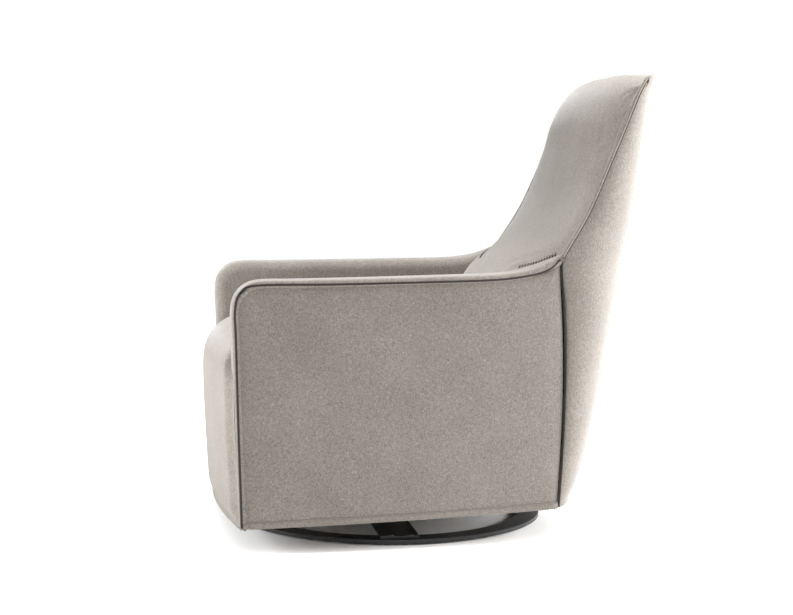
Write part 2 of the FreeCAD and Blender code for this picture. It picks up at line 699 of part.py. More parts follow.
def seat_cushion():
    """Seat deck: full width between the arms, rounded over at the front."""
    low, high = SEAT_BOTTOM, SEAT_HEIGHT
    corner_x = seat_half(front_y(seat_half(CORNER_Y)))
    corner_y = front_y(corner_x)
    mid_y = (corner_y + SEAT_REAR_Y) / 2
    a, b, c = vec(-corner_x, corner_y, low), vec(0, FRONT_Y, low), vec(corner_x, corner_y, low)
    d, e = vec(seat_half(mid_y), mid_y, low), vec(seat_half(SEAT_REAR_Y), SEAT_REAR_Y, low)
    f, g = vec(-e.x, e.y, low), vec(-d.x, d.y, low)
    outline = [arc(a, b, c), arc(c, d, e), line(e, f), arc(f, g, a)]
    cushion = face_of(outline).extrude(vec(0, 0, high - low))
    top = [edge for edge in cushion.Edges if edge.BoundBox.ZMin > high - 1]
    nose = [edge for edge in top if edge.BoundBox.YMax < CORNER_Y + 20.0]
    return cushion.makeFillet(SEAT_NOSE, nose)


def front_panel():
    """Padded front below the seat nose, between the arms' fronts."""
    half = WIDTH / 2 - ARM_WIDTH - 12.0
    return front_band(2.0, FRONT_PAD, (-half, half), (BODY_CLEARANCE, SEAT_BOTTOM - GAP))


def back_section(z, front, crown, rear, half, rear_bow=0.5):
    """One level of the inside back: a crowned front edge, straight sides and a slightly bowed rear."""
    a, b, c = vec(-half, front + crown, z), vec(0, front, z), vec(half, front + crown, z)
    d, e, f = vec(half, rear - rear_bow, z), vec(0, rear, z), vec(-half, rear - rear_bow, z)
    return Part.Wire([arc(a, b, c), line(c, d), arc(d, e, f), line(f, a)])


def inside_back():
    """Inside back cushion with its head roll.  Each level names its front, crown, rear and half width."""
    low_half = seat_half(ARM_REAR_Y) - 12.0
    high_half = REAR_WIDTH / 2 - 34.0
    start = SEAT_REAR_Y + 2 * GAP
    cap_z = HEIGHT - HEAD_CAP
    levels = [(SEAT_BOTTOM + 10.0, start, 0.6, start + 80.0, low_half),
              (SEAT_HEIGHT, start, 4.0, post_y(SEAT_HEIGHT) - GAP, low_half),
              (ARM_HEIGHT - 30.0, start + 10.0, 20.0, post_y(ARM_HEIGHT - 30.0) - GAP, low_half),
              (ARM_HEIGHT + 4.0, start + 30.0, 40.0, post_y(ARM_HEIGHT) - GAP, low_half + 6.0),
              (APEX_Z + 14.0, start + 66.0, 60.0, post_y(APEX_Z) - GAP, high_half - 4.0),
              (HEIGHT - 288.0, start + 134.0, 62.0, post_y(HEIGHT - 288.0) - GAP, high_half),
              (HEIGHT - 168.0, start + 180.0, 58.0, post_y(HEIGHT - 168.0) - GAP, high_half - 2.0),
              (HEIGHT - 74.0, start + 216.0, 54.0, post_y(HEIGHT - 74.0) - GAP, high_half - 6.0),
              (cap_z, start + 244.0, 24.0, post_y(HEIGHT - 74.0) - GAP, high_half - 12.0)]
    cap_levels = [(cap_z, start + 244.0, 24.0, BACK_Y - 4.0, high_half - 12.0, 44.0),
                  (HEIGHT, start + 300.0, 8.0, BACK_Y - 40.0, high_half - 60.0, 24.0)]
    cushion = Part.makeLoft([back_section(*level) for level in levels], True, True)
    cap = Part.makeLoft([back_section(*level) for level in cap_levels], True, True)
    return cushion.fuse(cap)


def shell_section(z, half, seam, rear, inset):
    """One level of the wrap-round outside back; inset gives its inner face, which runs out at the front."""
    corner = BACK_CORNER_SHARE * (rear - BACK_BOW - seam)
    side, back, front = half - inset, rear - inset, seam - 2 * inset
    middle = 1 - math.sqrt(0.5)
    flat = back - BACK_BOW
    turn = vec(side - middle * corner, flat - middle * corner, z)
    edges = [line(vec(side, front, z), vec(side, flat - corner, z)),
             arc(vec(side, flat - corner, z), turn, vec(side - corner, flat, z)),
             arc(vec(side - corner, flat, z), vec(0, back, z), vec(corner - side, flat, z)),
             arc(vec(corner - side, flat, z), vec(-turn.x, turn.y, z), vec(-side, flat - corner, z)),
             line(vec(-side, flat - corner, z), vec(-side, front, z)),
             line(vec(-side, front, z), vec(side, front, z))]
    return Part.Wire(edges)


def shell_levels():
    """(height, half width, seam depth, rear depth) up the outside back."""
    half = REAR_WIDTH / 2
    lean = BACK_TOP_LEAN
    return [(BODY_CLEARANCE + 12.0, half - 10.0, SEAM_Y, BACK_Y - 164.0),
            (320.0, half - 4.0, SEAM_Y, BACK_Y - 100.0),
            (APEX_Z, half - 8.0, SEAM_Y, BACK_Y - 56.0),
            (HEIGHT - 288.0, half - 20.0, SEAM_Y + 0.34 * lean, BACK_Y - 34.0),
            (HEIGHT - 168.0, half - 24.0, SEAM_Y + 0.62 * lean, BACK_Y - 14.0),
            (HEIGHT - 34.0, half - 34.0, SEAM_Y + 0.96 * lean, BACK_Y)]


def outside_back():
    """Thin padded shell that wraps from one upright seam round the rear to the other."""
    levels = shell_levels()
    outer = Part.makeLoft([shell_section(z, half, seam, rear, 0.0) for z, half, seam, rear in levels], True, True)
    inner_levels = [(levels[0][0] - 5.0, *levels[0][1:])] + levels[1:-1] + [(levels[-1][0] + 5.0, *levels[-1][1:])]
    inner = Part.makeLoft([shell_section(z, half, seam, rear, SHELL)
                           for z, half, seam, rear in inner_levels], True, True)
    return outer.cut(inner)


def dust_cover(ys):
    """A taut cloth sheet under the body, ahead of or behind the mechanism."""
    half = min(frame_half(ys[0]), frame_half(ys[1])) - 2.0
    z = BODY_CLEARANCE + 12.0
    return box((-half, half), ys, (z, z + 1.5))


MECHANISM_ROOM = 100.0                # clear of the pivots fore and aft, for the whole glide


def dust_cover_front():
    return dust_cover((FRAME_FRONT_Y + 4.0, FRONT_PIVOT_Y - MECHANISM_ROOM))


def dust_cover_rear():
    return dust_cover((REAR_PIVOT_Y + MECHANISM_ROOM, FRAME_REAR_Y - 4.0))


def build():
    pieces = {
        "floor_glides": floor_glides(), "base_ring": base_ring(),
        "base_strap_lateral": base_strap_lateral(), "base_strap_fore_aft": base_strap_fore_aft(),
        "strap_rivets": strap_rivets(), "swivel_lower_plate": swivel_lower_plate(),
        "bearing_lower_race": bearing_lower_race(), "bearing_balls": bearing_balls(),
        "pivot_bolt": pivot_bolt(), "pivot_nut": pivot_nut(),
        "bearing_upper_race": bearing_upper_race(), "swivel_upper_plate": swivel_upper_plate(),
        "thrust_washer": thrust_washer(), "cross_member_front": cross_member_front(),
        "cross_member_rear": cross_member_rear(), "upper_pivot_pins": upper_pivot_pins(),
        "lower_pivot_pins": lower_pivot_pins(), "glide_rail_bolts": glide_rail_bolts(),
        "front_link_bushes": link_bushes(FRONT_PIVOT_Y, RUNNING),
        "rear_link_bushes": link_bushes(REAR_PIVOT_Y, OPEN_PIVOT),
        "base_front_rail": base_front_rail(), "seat_front_rail": seat_front_rail(),
        "base_rear_rail": base_rear_rail(), "seat_rear_rail": seat_rear_rail(),
        "corner_blocks": corner_blocks(), "back_top_rail": back_top_rail(),
        "back_lumbar_rail": back_lumbar_rail(), "seat_springs": seat_springs(),
        "back_springs": back_springs(), "spring_clips": spring_clips(),
        "seat_cushion": seat_cushion(), "front_panel": front_panel(), "inside_back": inside_back(),
        "outside_back": outside_back(), "dust_cover_front": dust_cover_front(),
        "dust_cover_rear": dust_cover_rear(),
    }
    for name, side in (("left", 1), ("right", -1)):
        pieces["mechanism_side_" + name] = mechanism_side(side)
        pieces["front_link_" + name] = link(FRONT_PIVOT_Y, side)
        pieces["rear_link_" + name] = link(REAR_PIVOT_Y, side)
        pieces["glide_rail_" + name] = glide_rail(side)
        pieces["mounting_rail_" + name] = runner(side)
        pieces["side_panel_" + name] = side_panel(side)
        pieces["arm_front_post_" + name] = arm_front_post(side)
        pieces["arm_top_rail_" + name] = arm_top_rail(side)
        pieces["back_post_" + name] = back_post(side)
        pieces["outer_side_" + name] = outer_side(side)
        pieces["arm_cover_" + name] = arm_cover(side)
    return pieces


os.makedirs("parts", exist_ok=True)
for node, shape in build().items():
    shape.exportStep("parts/" + node + ".step")
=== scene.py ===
import json
import math
import bmesh
import bpy
import numpy as np
from mathutils import Matrix, Vector


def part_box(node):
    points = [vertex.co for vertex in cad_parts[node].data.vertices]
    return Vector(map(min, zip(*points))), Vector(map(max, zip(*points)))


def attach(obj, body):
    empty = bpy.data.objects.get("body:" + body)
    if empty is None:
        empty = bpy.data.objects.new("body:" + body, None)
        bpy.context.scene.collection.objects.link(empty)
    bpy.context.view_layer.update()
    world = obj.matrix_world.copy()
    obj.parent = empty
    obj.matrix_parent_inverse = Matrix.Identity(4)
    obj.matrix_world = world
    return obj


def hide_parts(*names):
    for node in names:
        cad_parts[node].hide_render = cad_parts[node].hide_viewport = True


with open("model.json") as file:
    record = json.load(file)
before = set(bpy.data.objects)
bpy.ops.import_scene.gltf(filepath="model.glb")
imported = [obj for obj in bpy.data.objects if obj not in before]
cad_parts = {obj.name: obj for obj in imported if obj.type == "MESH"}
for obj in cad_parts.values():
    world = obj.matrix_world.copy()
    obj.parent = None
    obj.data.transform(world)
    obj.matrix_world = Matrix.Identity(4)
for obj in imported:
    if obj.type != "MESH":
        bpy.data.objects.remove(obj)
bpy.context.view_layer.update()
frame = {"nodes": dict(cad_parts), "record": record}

# ---- places read from the frame ------------------------------------------------------------------
panel_low, panel_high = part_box("outer_side_left")
_, cover_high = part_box("arm_cover_left")
seat_low, seat_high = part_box("seat_cushion")
_, back_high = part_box("inside_back")
_, shell_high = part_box("outside_back")

HALF_FRONT = panel_high.x              # half width of the chair at its front corners
HALF_REAR = shell_high.x + 0.004       # half width where the side panels end
SIDE_BOW = 0.016                       # how far each side bulges between its ends
CORNER_Y = panel_low.y - 0.007         # front corner of each arm
SEAM_Y = panel_high.y + 0.002          # upright seam between side panel and outside back
FRONT_Y = seat_low.y                   # foremost point of the seat
FRONT_BOW = 0.037                      # how far the front falls back from its middle to its corners
REAR_Y = shell_high.y
FLOOR_EDGE = panel_low.z               # bottom edge of the upholstery at the front
EDGE_RISE = 0.014                      # how much higher that edge is at the rear seam
ARM_TOP = cover_high.z
ARM_WIDTH = 0.085
APEX_HEIGHT = 0.582                    # where arm, side panel, inside back and outside back meet
SEAT_TOP = seat_high.z
TOP_Z = back_high.z
PANEL_THICKNESS = 0.009
ARM_THICKNESS = 0.006
CUSHION_THICKNESS = 0.012
THIN_BORDER = 0.12                     # share of its thickness that a cushion keeps at its sewn edge
SWELL_FRAMES = 20
APEX = Vector((HALF_REAR - 0.007, SEAM_Y + 0.001, APEX_HEIGHT))


# ---- small geometry helpers ----------------------------------------------------------------------
def smooth_step(value, low, high):
    t = np.clip((value - low) / (high - low), 0.0, 1.0)
    return t * t * (3 - 2 * t)


def clustered(count, pull=0.9):
    """Values from 0 to 1 that crowd towards both ends, where edges are rounded."""
    t = np.linspace(0.0, 1.0, count)
    return t - pull * np.sin(2 * math.pi * t) / (2 * math.pi)


def through(points, where):
    """A smooth curve through the points (Catmull-Rom), read at each value of where, from 0 to 1."""
    p = np.asarray(points, float)
    p = np.vstack([2 * p[0] - p[1], p, 2 * p[-1] - p[-2]])
    spans = len(p) - 3
    t = np.clip(np.asarray(where) * spans, 0.0, spans - 1e-9)
    i = t.astype(int)
    f = (t - i)[:, None]
    a, b, c, d = p[i], p[i + 1], p[i + 2], p[i + 3]
    return 0.5 * (2 * b + (c - a) * f + (2 * a - 5 * b + 4 * c - d) * f ** 2
                  + (3 * b - a - 3 * c + d) * f ** 3)


def side_x(y):
    """Half width of the chair's side at depth y."""
    share = (y - CORNER_Y) / (SEAM_Y - CORNER_Y)
    return HALF_FRONT + (HALF_REAR - HALF_FRONT) * share + 4 * SIDE_BOW * share * (1 - share)


def cover_x(y, z):
    """Half width of the side's cover: it draws in a little towards the apex, where four seams meet."""
    drawn = smooth_step(y, 0.05, SEAM_Y) * smooth_step(z, 0.42, APEX.z)
    return side_x(y) - (HALF_REAR - APEX.x) * drawn


def edge_z(y):
    """Height of the upholstery's bottom edge at depth y."""
    return FLOOR_EDGE + EDGE_RISE * np.clip((y - CORNER_Y) / (SEAM_Y - CORNER_Y), 0, 1)


def grid_normals(grid):
    du = np.gradient(grid, axis=1)
    dv = np.gradient(grid, axis=0)
    normal = np.cross(du, dv)
    length = np.linalg.norm(normal, axis=2, keepdims=True)
    return normal / np.maximum(length, 1e-12)


def reach(grid, axis, from_end):
    """Distance along the surface from one border of a grid."""
    steps = np.linalg.norm(np.diff(grid, axis=axis), axis=2)
    pad = [(0, 0), (0, 0)]
    pad[axis] = (1, 0)
    if from_end:
        return np.flip(np.pad(np.cumsum(np.flip(steps, axis), axis=axis), pad), axis)
    return np.pad(np.cumsum(steps, axis=axis), pad)


def roll_edges(grid, radius, borders, outward):
    """Rounds the named borders of a grid down into their seams."""
    normals = grid_normals(grid) * outward
    gaps = {"left": reach(grid, 1, False), "right": reach(grid, 1, True),
            "low": reach(grid, 0, False), "high": reach(grid, 0, True)}
    nearest = np.min([gaps[name] for name in borders], axis=0)
    inside = np.clip(radius - nearest, 0.0, radius)
    drop = radius - np.sqrt(np.maximum(radius ** 2 - inside ** 2, 0.0))
    return grid - normals * drop[..., None]


def mesh_object(name, verts, faces):
    mesh = bpy.data.meshes.new(name)
    mesh.from_pydata([tuple(v) for v in verts], [], faces)
    mesh.validate()
    mesh.polygons.foreach_set("use_smooth", [True] * len(mesh.polygons))
    piece = bpy.data.objects.new(name, mesh)
    bpy.context.scene.collection.objects.link(piece)
    return piece


def slab(name, grid, thickness, outward, border=1.0):
    """A closed pad: the grid, a copy set back by its thickness, and a border of a given share of it."""
    rows, cols = grid.shape[:2]
    gaps = [reach(grid, 1, False), reach(grid, 1, True), reach(grid, 0, False), reach(grid, 0, True)]
    depth = thickness * (border + (1 - border) * smooth_step(np.min(gaps, axis=0), 0.004, 0.040))
    back = grid - grid_normals(grid) * outward * depth[..., None]
    verts = np.vstack([grid.reshape(-1, 3), back.reshape(-1, 3)])
    count = rows * cols
    faces = []
    for r in range(rows - 1):
        for c in range(cols - 1):
            a = r * cols + c
            quad = [a, a + 1, a + cols + 1, a + cols]
            far = [count + i for i in reversed(quad)]
            faces += [quad, far] if outward > 0 else [quad[::-1], far[::-1]]
    ring = [c for c in range(cols)]
    ring += [r * cols + cols - 1 for r in range(1, rows)]
    ring += [(rows - 1) * cols + c for c in range(cols - 2, -1, -1)]
    ring += [r * cols for r in range(rows - 2, 0, -1)]
    for i, j in zip(ring, ring[1:] + ring[:1]):
        side = [i, count + i, count + j, j]
        faces.append(side if outward > 0 else side[::-1])
    return mesh_object(name, verts, faces)


def swell(piece, grid, cap):
    """Cloth simulation: a pad's front swells under pressure between its seams, at most by the cap."""
    rows, cols = grid.shape[:2]
    count = rows * cols
    front = np.arange(count).reshape(rows, cols)
    border = set(front[0]) | set(front[-1]) | set(front[:, 0]) | set(front[:, -1])
    held = piece.vertex_groups.new(name="sewn_edge")
    held.add([int(i) for i in border] + list(range(count, 2 * count)), 1.0, "REPLACE")
    cloth = piece.modifiers.new("swell", "CLOTH")
    settings = cloth.settings
    settings.quality = 4
    settings.mass = 0.4
    settings.tension_stiffness = 12.0
    settings.compression_stiffness = 12.0
    settings.shear_stiffness = 6.0
    settings.bending_stiffness = 1.5
    settings.use_pressure = True
    settings.uniform_pressure_force = 4.0
    settings.effector_weights.gravity = 0.0
    settings.vertex_group_mass = held.name
    cloth.point_cache.frame_start = 1
    cloth.point_cache.frame_end = SWELL_FRAMES
    scene = bpy.context.scene
    for frame_number in range(1, SWELL_FRAMES + 1):
        scene.frame_set(frame_number)
    shaped = piece.evaluated_get(bpy.context.evaluated_depsgraph_get())
    moved = np.empty(len(piece.data.vertices) * 3)
    shaped.data.vertices.foreach_get("co", moved)
    start = np.empty_like(moved)
    piece.data.vertices.foreach_get("co", start)
    shift = (moved - start).reshape(-1, 3)
    size = np.linalg.norm(shift, axis=1, keepdims=True)
    shift *= np.tanh(size / cap) * cap / np.maximum(size, 1e-9)
    piece.modifiers.remove(cloth)
    piece.vertex_groups.remove(held)
    piece.data.vertices.foreach_set("co", (start.reshape(-1, 3) + shift).ravel())
    piece.data.update()
    scene.frame_set(1)


def mirrored(piece, name):
    """The same piece for the chair's other side."""
    mesh = piece.data.copy()
    mesh.transform(Matrix.Scale(-1, 4, (1, 0, 0)))
    mesh.flip_normals()
    twin = bpy.data.objects.new(name, mesh)
    bpy.context.scene.collection.objects.link(twin)
    return twin


def recalculate_outward(piece):
    shape = bmesh.new()
    shape.from_mesh(piece.data)
    bmesh.ops.recalc_face_normals(shape, faces=shape.faces)
    shape.to_mesh(piece.data)
    shape.free()


def tube(name, points, radius, sides=12):
    """A round cord along a list of points."""
    p = np.asarray(points, float)
    ahead, behind = np.vstack([p[1:], p[-1:]]), np.vstack([p[:1], p[:-1]])
    along = ahead - behind
    along /= np.linalg.norm(along, axis=1, keepdims=True)
    up = np.array([0.0, 0.0, 1.0])
    first = np.cross(along[0], up)
    if np.linalg.norm(first) < 0.1:
        first = np.cross(along[0], [1.0, 0.0, 0.0])
    frames = [first / np.linalg.norm(first)]
    for tangent in along[1:]:
        turned = frames[-1] - tangent * np.dot(frames[-1], tangent)
        frames.append(turned / np.linalg.norm(turned))
    verts, faces = [], []
    for centre, tangent, across in zip(p, along, frames):
        over = np.cross(tangent, across)
        for k in range(sides):
            a = 2 * math.pi * k / sides
            verts.append(centre + radius * (math.cos(a) * across + math.sin(a) * over))
    for i in range(len(p) - 1):
        for k in range(sides):
            m = (k + 1) % sides
            faces.append([i * sides + k, i * sides + m, (i + 1) * sides + m, (i + 1) * sides + k])
    faces.append(list(range(sides))[::-1])
    faces.append([(len(p) - 1) * sides + k for k in range(sides)])
    return mesh_object(name, verts, faces)


def finish_cover(piece, material, replaced):
    """Shared ending of every upholstered piece on the chair body."""
    piece.data.materials.append(material)
    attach(piece, "chair")
    if replaced:
        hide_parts(*replaced)
    return piece


# ---- materials -----------------------------------------------------------------------------------
def new_material(name, roughness, metallic=0.0):
    material = bpy.data.materials.new(name)
    material.use_nodes = True
    shader = material.node_tree.nodes["Principled BSDF"]
    shader.inputs["Roughness"].default_value = roughness
    shader.inputs["Metallic"].default_value = metallic
    return material, material.node_tree, shader


def node(tree, kind, **settings):
    made = tree.nodes.new(kind)
    for key, value in settings.items():
        if key in made.inputs:
            made.inputs[key].default_value = value
        else:
            setattr(made, key, value)
    return made


def ramp(tree, source, stops):
    made = tree.nodes.new("ShaderNodeValToRGB")
    while len(made.color_ramp.elements) < len(stops):
        made.color_ramp.elements.new(0.5)
    for element, (place, colour) in zip(made.color_ramp.elements, stops):
        element.position = place
        element.color = (*colour, 1.0)
    tree.links.new(source, made.inputs["Fac"])
    return made


def bump_from(tree, shader, height, strength, distance):
    made = node(tree, "ShaderNodeBump", Strength=strength, Distance=distance)
    tree.links.new(height, made.inputs["Height"])
    tree.links.new(made.outputs["Normal"], shader.inputs["Normal"])


def upholstery_fabric():
    """Short-pile warm grey fabric: fine mottled grain, soft brushed patches and a low sheen."""
    material, tree, shader = new_material("greige_pile_fabric", 0.92)
    shader.inputs["Sheen Weight"].default_value = 0.22
    shader.inputs["Sheen Roughness"].default_value = 0.45
    shader.inputs["Specular IOR Level"].default_value = 0.22
    place = node(tree, "ShaderNodeTexCoord").outputs["Object"]
    grain = node(tree, "ShaderNodeTexNoise", Scale=330.0, Detail=3.0, Roughness=0.62, Distortion=0.9)
    pebble = node(tree, "ShaderNodeTexNoise", Scale=170.0, Detail=2.0, Roughness=0.5, Distortion=1.8)
    brushed = node(tree, "ShaderNodeTexNoise", Scale=9.0, Detail=3.0, Roughness=0.55)
    for texture in (grain, pebble, brushed):
        tree.links.new(place, texture.inputs["Vector"])
    fine = ramp(tree, grain.outputs["Fac"], [(0.30, (0.104, 0.092, 0.080)), (0.52, (0.160, 0.144, 0.127)),
                                             (0.72, (0.215, 0.197, 0.176))])
    coarse = ramp(tree, pebble.outputs["Fac"], [(0.34, (0.88, 0.875, 0.87)), (0.66, (1.07, 1.07, 1.07))])
    patches = ramp(tree, brushed.outputs["Fac"], [(0.30, (0.93, 0.925, 0.92)), (0.70, (1.06, 1.06, 1.06))])
    first = node(tree, "ShaderNodeMix", data_type="RGBA", blend_type="MULTIPLY")
    first.inputs[0].default_value = 1.0
    tree.links.new(fine.outputs["Color"], first.inputs[6])
    tree.links.new(coarse.outputs["Color"], first.inputs[7])
    second = node(tree, "ShaderNodeMix", data_type="RGBA", blend_type="MULTIPLY")
    second.inputs[0].default_value = 1.0
    tree.links.new(first.outputs[2], second.inputs[6])
    tree.links.new(patches.outputs["Color"], second.inputs[7])
    tree.links.new(second.outputs[2], shader.inputs["Base Color"])
    height = node(tree, "ShaderNodeMath", operation="ADD")
    tree.links.new(grain.outputs["Fac"], height.inputs[0])
    tree.links.new(pebble.outputs["Fac"], height.inputs[1])
    bump_from(tree, shader, height.outputs[0], 0.35, 0.0012)
    return material


def plain_cloth(name, colour, scale):
    """A simple woven cloth with fine thread variation."""
    material, tree, shader = new_material(name, 0.95)
    place = node(tree, "ShaderNodeTexCoord").outputs["Object"]
    weave = node(tree, "ShaderNodeTexNoise", Scale=scale, Detail=2.0)
    tree.links.new(place, weave.inputs["Vector"])
    dark = tuple(0.7 * c for c in colour)
    light = tuple(min(1.0, 1.25 * c) for c in colour)
    tint = ramp(tree, weave.outputs["Fac"], [(0.35, dark), (0.65, light)])
    tree.links.new(tint.outputs["Color"], shader.inputs["Base Color"])
    bump_from(tree, shader, weave.outputs["Fac"], 0.3, 0.0006)
    return material


def powder_coat(name, colour, roughness):
    """Satin black coating with a faint orange-peel surface and slight wear in the gloss."""
    material, tree, shader = new_material(name, roughness)
    shader.inputs["Specular IOR Level"].default_value = 0.35
    place = node(tree, "ShaderNodeTexCoord").outputs["Object"]
    peel = node(tree, "ShaderNodeTexNoise", Scale=420.0, Detail=2.0)
    wear = node(tree, "ShaderNodeTexNoise", Scale=14.0, Detail=4.0)
    for texture in (peel, wear):
        tree.links.new(place, texture.inputs["Vector"])
    tint = ramp(tree, wear.outputs["Fac"], [(0.35, colour), (0.70, tuple(1.6 * c for c in colour))])
    gloss = node(tree, "ShaderNodeMapRange")
    gloss.inputs["To Min"].default_value = roughness - 0.06
    gloss.inputs["To Max"].default_value = roughness + 0.10
    tree.links.new(wear.outputs["Fac"], gloss.inputs["Value"])
    tree.links.new(gloss.outputs["Result"], shader.inputs["Roughness"])
    tree.links.new(tint.outputs["Color"], shader.inputs["Base Color"])
    bump_from(tree, shader, peel.outputs["Fac"], 0.12, 0.0004)
    return material


def zinc_steel():
    material, tree, shader = new_material("zinc_steel", 0.38, metallic=1.0)
    place = node(tree, "ShaderNodeTexCoord").outputs["Object"]
    spangle = node(tree, "ShaderNodeTexVoronoi", Scale=260.0)
    tree.links.new(place, spangle.inputs["Vector"])
    tint = ramp(tree, spangle.outputs["Distance"], [(0.1, (0.50, 0.50, 0.49)), (0.6, (0.66, 0.66, 0.64))])
    tree.links.new(tint.outputs["Color"], shader.inputs["Base Color"])
    bump_from(tree, shader, spangle.outputs["Distance"], 0.05, 0.0003)
    return material


def nylon():
    material, tree, shader = new_material("nylon", 0.5)
    place = node(tree, "ShaderNodeTexCoord").outputs["Object"]
    cloud = node(tree, "ShaderNodeTexNoise", Scale=60.0)
    tree.links.new(place, cloud.inputs["Vector"])
    tint = ramp(tree, cloud.outputs["Fac"], [(0.3, (0.72, 0.70, 0.64)), (0.7, (0.80, 0.79, 0.74))])
    tree.links.new(tint.outputs["Color"], shader.inputs["Base Color"])
    bump_from(tree, shader, cloud.outputs["Fac"], 0.05, 0.0003)
    return material


def frame_wood():
    """Planed light hardwood with stretched growth rings."""
    material, tree, shader = new_material("frame_wood", 0.62)
    place = node(tree, "ShaderNodeTexCoord").outputs["Object"]
    stretch = node(tree, "ShaderNodeMapping")
    stretch.inputs["Scale"].default_value = (14.0, 14.0, 1.6)
    tree.links.new(place, stretch.inputs["Vector"])
    rings = node(tree, "ShaderNodeTexNoise", Scale=3.0, Detail=6.0, Distortion=1.4)
    tree.links.new(stretch.outputs["Vector"], rings.inputs["Vector"])
    tint = ramp(tree, rings.outputs["Fac"], [(0.30, (0.36, 0.23, 0.12)), (0.50, (0.56, 0.40, 0.23)),
                                             (0.72, (0.66, 0.50, 0.32))])
    tree.links.new(tint.outputs["Color"], shader.inputs["Base Color"])
    bump_from(tree, shader, rings.outputs["Fac"], 0.15, 0.0008)
    return material


FABRIC = upholstery_fabric()
# Near-black cord colour: painted shade that stands in for the shadow inside the seam crevices.
SEAM_PAINTED_SHADE = plain_cloth("seam_painted_shade_cord", (0.016, 0.012, 0.010), 700.0)
SEAM_SOFT = plain_cloth("welt_seam_fold", (0.150, 0.132, 0.115), 700.0)
THREAD = plain_cloth("stitch_thread", (0.060, 0.048, 0.040), 900.0)
BY_SLOT = {
    "black_base": powder_coat("black_base", (0.010, 0.010, 0.011), 0.34),
    "mechanism_paint": powder_coat("mechanism_paint", (0.018, 0.018, 0.018), 0.42),
    "felt_glide": plain_cloth("felt_glide", (0.05, 0.05, 0.05), 500.0),
    "zinc_steel": zinc_steel(),
    "nylon": nylon(),
    "frame_wood": frame_wood(),
    "dust_cloth": plain_cloth("dust_cloth", (0.022, 0.022, 0.022), 1100.0),
    "upholstery": FABRIC,
}


def dress_cad_nodes():
    """Every CAD node that stays visible gets the procedural material of its slot."""
    slots = {part["node"]: part["material_slot"] for part in frame["record"]["subparts"]}
    for name, piece in frame["nodes"].items():
        piece.data.materials.clear()
        piece.data.materials.append(BY_SLOT[slots[name]])


# ---- outer side panels ---------------------------------------------------------------------------
WELT_HEIGHT = 0.0125


def panel_rear_y(z):
    """The rear seam stands a little further back at mid height."""
    return SEAM_Y - 0.001 + 0.010 * np.sin(math.pi * np.clip((z - 0.06) / 0.50, 0, 1))


def panel_edges(count_u, count_v):
    """The panel's four edges as (y, z): bottom, top, front and rear, the last two read upward."""
    u, v = clustered(count_u), clustered(count_v)
    apex = np.array([SEAM_Y - 0.003, APEX.z - 0.007])
    outline = [(CORNER_Y + 0.016, FLOOR_EDGE + 0.004), (CORNER_Y + 0.010, 0.24), (CORNER_Y + 0.005, 0.42),
               (CORNER_Y + 0.0035, ARM_TOP - 0.062), (CORNER_Y + 0.0155, ARM_TOP - 0.0285),
               (CORNER_Y + 0.050, ARM_TOP - 0.0165), (-0.25, ARM_TOP - 0.0155), (-0.05, ARM_TOP - 0.0125),
               (0.09, ARM_TOP - 0.0095), (0.165, ARM_TOP - 0.0015), (0.203, ARM_TOP + 0.0095), tuple(apex)]
    bend = 4 / (len(outline) - 1)
    front = through(outline, bend * v)
    top = through(outline, bend + (1 - bend) * u)
    front_low = front[0]
    rear_low = edge_z(SEAM_Y) + 0.004
    rear_z = rear_low + (apex[1] - rear_low) * v
    rear = np.column_stack([panel_rear_y(rear_z) - 0.002 * (1 - v), rear_z])
    rear[-1] = top[-1]
    bottom = front_low + (rear[0] - front_low) * u[:, None]
    bottom[:, 1] = edge_z(bottom[:, 0]) + 0.004
    bottom[0], bottom[-1] = front_low, rear[0]
    return bottom, top, front, rear, u, v


def side_panel(name):
    """Flat-looking upholstered panel: a slight crown, and edges that roll into the seam all round."""
    bottom, top, front, rear, u, v = panel_edges(96, 84)
    uu, vv = u[None, :, None], v[:, None, None]
    flat = (1 - vv) * bottom[None] + vv * top[None] + (1 - uu) * front[:, None] + uu * rear[:, None]
    flat -= ((1 - uu) * (1 - vv) * bottom[0] + uu * (1 - vv) * bottom[-1]
             + (1 - uu) * vv * top[0] + uu * vv * top[-1])
    y, z = flat[..., 0], flat[..., 1]
    grid = np.dstack([cover_x(y, z), y, z])
    gaps = [reach(grid, 1, False), reach(grid, 1, True), reach(grid, 0, False), reach(grid, 0, True)]
    nearest = np.min(gaps, axis=0)
    grid[..., 0] += 0.0025 - 0.0065 * np.exp(-nearest / 0.022)
    grid = roll_edges(grid, 0.0060, ("left", "right", "high"), 1)
    return slab(name, grid, PANEL_THICKNESS, 1)


# ---- arm covers ----------------------------------------------------------------------------------
def arm_path(count):
    """The arm's crest from the apex forward along the top, round the front corner and down, as (y, z)."""
    points = [(SEAM_Y + 0.001, APEX.z + 0.003), (0.212, ARM_TOP + 0.029), (0.178, ARM_TOP + 0.0155),
              (0.140, ARM_TOP + 0.007), (0.08, ARM_TOP + 0.002), (-0.05, ARM_TOP - 0.001),
              (-0.20, ARM_TOP - 0.004), (-0.32, ARM_TOP - 0.006), (CORNER_Y + 0.052, ARM_TOP - 0.007),
              (CORNER_Y + 0.022, ARM_TOP - 0.016), (CORNER_Y + 0.002, ARM_TOP - 0.038),
              (CORNER_Y - 0.005, ARM_TOP - 0.070), (CORNER_Y - 0.003, 0.40), (CORNER_Y + 0.002, 0.25),
              (CORNER_Y + 0.010, FLOOR_EDGE)]
    dense = through(points, np.linspace(0, 1, 1200))
    steps = np.linalg.norm(np.diff(dense, axis=0), axis=1)
    walked = np.concatenate([[0], np.cumsum(steps)]) / steps.sum()
    wanted = np.linspace(0, 1, count)
    return np.column_stack([np.interp(wanted, walked, dense[:, k]) for k in (0, 1)])


